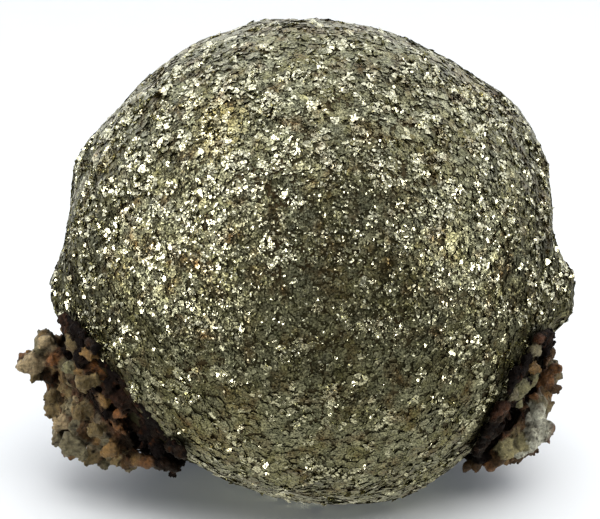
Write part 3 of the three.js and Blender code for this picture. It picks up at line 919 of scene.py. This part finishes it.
def line_of_sight(right, up):
    """From the camera to the place this far to the right and up, and how far off the ball or the
    rock is along it, or nothing where it passes beside them."""
    sight = BALL_MIDDLE + MM * (right * view_right + up * view_up) - camera.location
    rays = [surface.ray_cast(camera.location, sight) for surface in (bed_surface, rock_surface)]
    return sight, min((ray[3] for ray in rays if ray[0]), default=None)


def all_seen(rows):
    """The places of the rows' grains on what the camera sees there, sunk in by a part of their size,
    and their sizes. Where the sight slips through a slit, they lie at the front of the slit."""
    places = []
    for right, up, size, *_ in rows:
        sight, distance = line_of_sight(right, up)
        around = [line_of_sight(right + SLIT_REACH * step, up + SLIT_REACH * rise)[1]
                  for step, rise in ((1, 0), (0, 1), (-1, 0), (0, -1))]
        front = min((other for other in around if other), default=distance)
        if distance and distance - front > SLIT_DEPTH:
            distance = front
        depth = (distance or sight.length) + END_DEPTH * MM * size
        places.append(camera.location + depth * sight.normalized())
    return np.array(places), MM * np.array([row[2] for row in rows])


end_places, end_sizes = all_seen(END_GRAINS)
end_tints = np.array([colour(grain[3]) for grain in END_GRAINS])
hollow_places, hollow_sizes = all_seen(DARK_HOLLOWS)
crust_rows = []
for edge in CRUST_EDGES:
    first, last = edge[0][0], edge[-1][0]
    clocks = draw.uniform(first, last, CRUST_LUMPS * (last - first))
    rings = draw.uniform(np.interp(clocks, *np.transpose(edge)), CRUST_OUTSIDE)
    crust_rows += np.stack([rings * np.cos(np.radians(clocks)), rings * np.sin(np.radians(clocks)),
                            draw.uniform(*CRUST_RADIUS, len(clocks))], 1).tolist()
crust_places, crust_sizes = all_seen(crust_rows)

rock = bpy.data.objects.new("rock_body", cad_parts["matrix"].data.copy())
bpy.context.collection.objects.link(rock)
deselect_all()
rock.select_set(True)
bpy.context.view_layer.objects.active = rock
bpy.ops.object.mode_set(mode="EDIT")
bpy.ops.mesh.select_all(action="SELECT")
bpy.ops.mesh.remove_doubles(threshold=0.001 * MM)
bpy.ops.object.mode_set(mode="OBJECT")
remesh(rock, CORE_VOXEL, smoothing=2)
places, normals, _ = spots_on_rock(GRAIN_COUNT)
sinking = rock.modifiers.new("sinking", "DISPLACE")
sinking.mid_level = 0
sinking.strength = -CORE_DEPTH
apply_modifiers(rock)

# Grains all over the core but not over the larger ones of the ends, then one skin round them all
sizes = MM * draw.uniform(*GRAIN_RADIUS, GRAIN_COUNT)
quartz_palette = [BROWN_QUARTZ, RUSTY_QUARTZ, TAN_QUARTZ, OLIVE_QUARTZ, GREY_QUARTZ, PALE_QUARTZ]
tints = pick_tints(quartz_palette, places, unevenness=0.16)
from_ball = np.linalg.norm(places - np.array(BALL_MIDDLE), axis=1, keepdims=True)
at_seam = from_ball < CRUST_START
inward = (np.array(BALL_MIDDLE) - places) / from_ball
# Grains at the seam are near-black: dark oxide crust, and painted shade where the rock meets the ball
tints = np.where(at_seam, colour(DARK_SEAM), tints)
sizes = np.where(at_seam[:, 0], SEAM_GRAIN_SHARE, 1) * sizes
places = places + np.where(at_seam, CRUST_REACH * inward, -GRAIN_DEPTH * sizes[:, None] * normals)
places = np.concatenate([places, crust_places])
sizes = np.concatenate([sizes, crust_sizes])
# The crust lumps are near-black: dark oxide, and painted shade under the ball
crust_and_shade_palette = [DARK_SEAM, DARK_SEAM, CEMENT_BROWN, CEMENT_RUST]
tints = np.concatenate([tints, pick_tints(crust_and_shade_palette, crust_places, unevenness=0.25)])
kept_clear = np.concatenate([end_places, hollow_places])
clear_reach = np.concatenate([end_sizes, hollow_sizes]) + GRAIN_SPACING * sizes[:, None]
free = (np.linalg.norm(places[:, None] - kept_clear, axis=2) - clear_reach).min(1) > 0
places, sizes, tints = places[free], sizes[free], tints[free]
small_grains = join_lumps("small_grains", places, sizes, subdivisions=2)
large_grains = join_lumps("large_grains", end_places, end_sizes, subdivisions=3)
deselect_all()
for part in (small_grains, large_grains, rock):
    part.select_set(True)
bpy.context.view_layer.objects.active = rock
bpy.ops.object.join()
remesh(rock, ROCK_VOXEL, smoothing=1)

grain_places = np.concatenate([places, end_places, hollow_places])
grain_sizes = np.concatenate([sizes, end_sizes, hollow_sizes])
grain_tints = np.concatenate([tints, end_tints, [colour(CEMENT_DARK)] * len(hollow_places)])
grain_finder = KDTree(len(grain_places))
for index, grain_place in enumerate(grain_places):
    grain_finder.insert(grain_place, index)
grain_finder.balance()


def grain_under(points):
    """The grain that each point lies on, and how far off its middle is, as a share of its radius."""
    found = []
    for point in points:
        nearby = grain_finder.find_n(point, NEARBY_GRAINS)
        found.append(min((distance / grain_sizes[index], index) for _, index, distance in nearby))
    shares, grains = zip(*found)
    return np.array(grains), np.array(shares)


# Pits all over, deep in the cement and among the small grains, and shallow on the sound quartz
own_grain, _ = grain_under(coordinates(rock))
end_pitting = np.where(end_places[:, 0] > 0, SOUND_PITTING, WORN_PITTING)
pitting_shares = np.concatenate([np.ones(len(places)), end_pitting, np.ones(len(hollow_places))])
pitted = rock.vertex_groups.new(name="pitted")
for share in np.unique(pitting_shares):
    pitted.add(np.flatnonzero(pitting_shares[own_grain] == share).tolist(), share, "REPLACE")
pit_texture = bpy.data.textures.new("rock_pits", "VORONOI")
pit_texture.noise_scale = PITTING_SIZE
pitting = rock.modifiers.new("pitting", "DISPLACE")
pitting.texture = pit_texture
pitting.texture_coords = "LOCAL"
pitting.vertex_group = pitted.name
pitting.mid_level = 0.3
pitting.strength = -PITTING_DEPTH
apply_modifiers(rock)

# Each point takes the tint of the grain it lies on; between the grains and in the dark hollows it is
# cement.
# Hollows are then darkened with painted shade and dirt, and the seam by the ball with painted shade and
# dark oxide.
points = coordinates(rock)
normals = values_of(rock.data.vertices, "normal")
own_grain, own_distance = grain_under(points)
on_grain = ramp(own_distance, *GRAIN_FADE)[:, None]
cement = pick_tints([CEMENT_DARK, CEMENT_BROWN, CEMENT_RUST, CEMENT_OCHRE], points, unevenness=0.1)
smoothing = rock.modifiers.new("smoothing", "SMOOTH")
smoothing.iterations = HOLLOW_ROUNDS
smoothed_rock = rock.evaluated_get(bpy.context.evaluated_depsgraph_get())
hollow = ((coordinates(smoothed_rock) - points) * normals).sum(1) / HOLLOW_DEPTH
rock.modifiers.clear()
# Darker in the hollows: painted shade, with dark dirt in patches
dirt_and_shade = ramp(hollow + DIRT_AND_SHADE_SWING * drift(points, DIRT_AND_SHADE_PATCH, salt=9)[:, 0], DIRT_AND_SHADE_START, 1)
# The seam where the rock meets the ball is darkened: dark oxide with painted shade
from_ball = np.linalg.norm(points - np.array(BALL_MIDDLE), axis=1)
from_ball = from_ball + SEAM_WAVE * drift(points, SEAM_PATCH, salt=17)[:, 0]
seam = (own_grain < len(places)) * ramp(-from_ball, -SEAM_END, -SEAM_START)
surface_tint = on_grain * grain_tints[own_grain] + (1 - on_grain) * cement
for cover, cover_tint in ((DIRT_AND_SHADE_STRENGTH * dirt_and_shade, CEMENT_DARK), (SEAM_STRENGTH * seam, DARK_SEAM)):
    cover = cover[:, None]
    surface_tint = (1 - cover) * surface_tint + cover * np.array(colour(cover_tint))
set_tints(rock, surface_tint)
keep_in_box(rock)
rock.data.materials.clear()

# Quartz and cement alike: worn and dull with a little glassy shine, mottled by rust and by dark dirt
MOTTLE_SIZE = 0.5 * MM
MOTTLE_SHADES = (0.4, 1.4)
RUST_SPOT = 1.3 * MM
RUST_STRENGTH = 0.55
QUARTZ_ROUGHNESS = (0.7, 0.35)
QUARTZ_IOR = 1.54
GLASSINESS = (0.05, 0.35)  # of dark cement and of pale quartz
CHIP_SIZE = 0.45 * MM
CHIP_DEPTH = 0.5 * MM

quartz_material, tree, shader = new_material("iron_stained_quartz")
place = add_node(tree, "ShaderNodeTexCoord").outputs["Object"]
tint = add_node(tree, "ShaderNodeAttribute", attribute_name="tint").outputs["Color"]
mottles = blotches(tree, place, MOTTLE_SIZE, 6, 0.7)
mottle = remap(tree, mottles, span=(0.35, 0.65), onto=MOTTLE_SHADES)
mottled = add_node(tree, "ShaderNodeVectorMath", {0: tint, "Scale": mottle}, operation="SCALE")
rust = remap(tree, blotches(tree, place, RUST_SPOT, 6, 0.7), span=(0.56, 0.7), onto=(0, RUST_STRENGTH))
rusted = blend(tree, rust, mottled.outputs[0], CEMENT_RUST)
tree.links.new(rusted, shader.inputs["Base Color"])
roughness = remap(tree, mottles, span=(0.3, 0.7), onto=QUARTZ_ROUGHNESS)
tree.links.new(roughness, shader.inputs["Roughness"])
shader.inputs["IOR"].default_value = QUARTZ_IOR
lightness = add_node(tree, "ShaderNodeSeparateColor", {0: tint}).outputs[0]
glassy = remap(tree, lightness, span=(0.01, 0.1), onto=GLASSINESS)
tree.links.new(glassy, shader.inputs["Specular IOR Level"])
chips = blotches(tree, place, CHIP_SIZE, 5, 0.7)
bump = add_node(tree, "ShaderNodeBump", {"Height": chips, "Strength": 1, "Distance": CHIP_DEPTH})
tree.links.new(bump.outputs[0], shader.inputs["Normal"])
rock.data.materials.append(quartz_material)
bpy.ops.object.shade_smooth()
belongs(rock, "matrix")


# Crumbs on the rock
# Crumbs of cement and broken quartz, tenths of a millimetre across. They came off the rock as it broke
# and still cling to it by their rust.
CRUMB_COUNT = 4200
CRUMB_RADIUS = (0.1, 0.3)  # millimetres
CRUMB_SHADES = (0.5, 1.5)

places, normals, faces = spots_on_rock(CRUMB_COUNT)
crumb_sizes = MM * draw.uniform(*CRUMB_RADIUS, CRUMB_COUNT)
crumbs = join_lumps("rust_crumbs", places, crumb_sizes, subdivisions=1)
under_crumbs = [rock.data.polygons[face].vertices[0] for face in faces]
# Crumbs take the rock's tint under them, painted shade of the hollows and the seam included
crumb_tints = surface_tint[under_crumbs] * draw.uniform(*CRUMB_SHADES, (CRUMB_COUNT, 1))
set_tints(crumbs, np.repeat(crumb_tints, len(crumbs.data.vertices) // CRUMB_COUNT, axis=0))
keep_in_box(crumbs)
crumbs.data.materials.append(quartz_material)
belongs(crumbs, "matrix")
